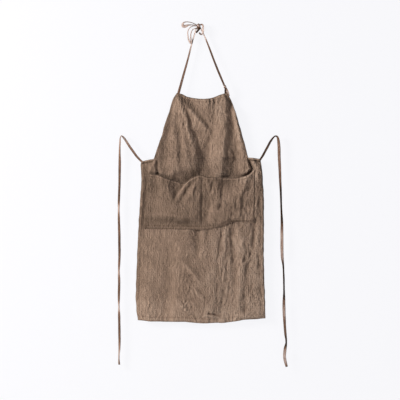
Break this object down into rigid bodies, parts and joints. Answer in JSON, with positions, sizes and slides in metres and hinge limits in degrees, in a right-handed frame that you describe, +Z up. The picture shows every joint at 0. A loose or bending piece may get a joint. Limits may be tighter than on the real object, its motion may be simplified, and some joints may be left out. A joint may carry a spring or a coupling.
{
  "type": "linen apron",
  "caption": "Bib apron of washed linen hung by the bow of its neck ties, with a wide divided front pocket and flat waist ties hanging at the sides.",
  "frame": {"origin": "the knot of the bow, the point that the apron hangs from", "axes": "+Z up along the length, +X across to the viewer's right, +Y to the back; the front with the pocket faces -Y"},
  "size_m": [0.6303, 0.0473, 1.2816],
  "materials": {
    "linen": "washed plain-weave linen, taupe, crinkled, matt",
    "linen_tape": "narrow folded linen tape, taupe, matt"
  },
  "bodies": {
    "root": {"body_panel": "linen", "pocket_panel": "linen", "neck_tie_left": "linen_tape", "neck_tie_right": "linen_tape", "corner_loop": "linen_tape", "corner_knot": "linen_tape", "bow_knot": "linen_tape", "bow_loop_upper": "linen_tape", "bow_loop_lower": "linen_tape", "bow_tail_long": "linen_tape", "bow_tail_short": "linen_tape", "waist_tie_left": "linen_tape", "waist_tie_right": "linen_tape"}
  },
  "joints": []
}
